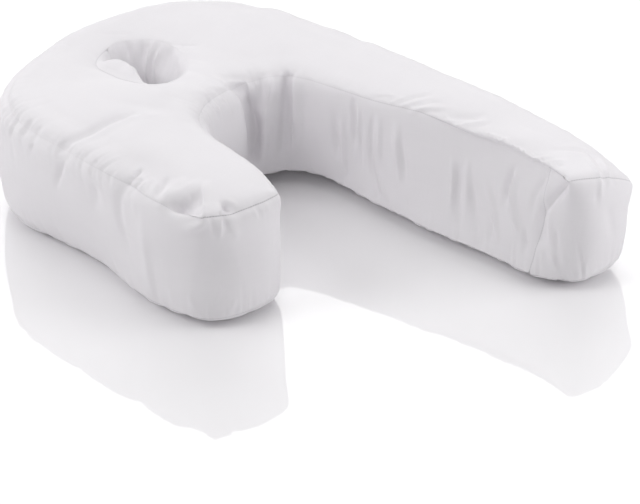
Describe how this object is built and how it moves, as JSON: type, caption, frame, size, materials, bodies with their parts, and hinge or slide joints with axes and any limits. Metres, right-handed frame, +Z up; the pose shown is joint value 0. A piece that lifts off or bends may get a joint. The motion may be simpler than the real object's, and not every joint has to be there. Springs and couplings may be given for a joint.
{
  "type": "u-shaped side sleeper pillow with ear hole",
  "caption": "Boxed U-shaped pillow for side sleeping, with a wide head, an ear hole through it, one short arm and one long arm, plain white cloth over a soft filling.",
  "frame": {"origin": "on the floor plane, under the middle of the pillow's bounding box", "axes": "+X along the arms away from the head, +Y from the short arm to the long arm, +Z up from the bottom panel"},
  "size_m": [0.7008, 0.4366, 0.1573],
  "materials": {
    "cotton": "plain white, finely woven cotton and polyester, smooth and matt with a faint soft sheen"
  },
  "bodies": {
    "root": {"pillow_body": "cotton"}
  },
  "joints": []
}
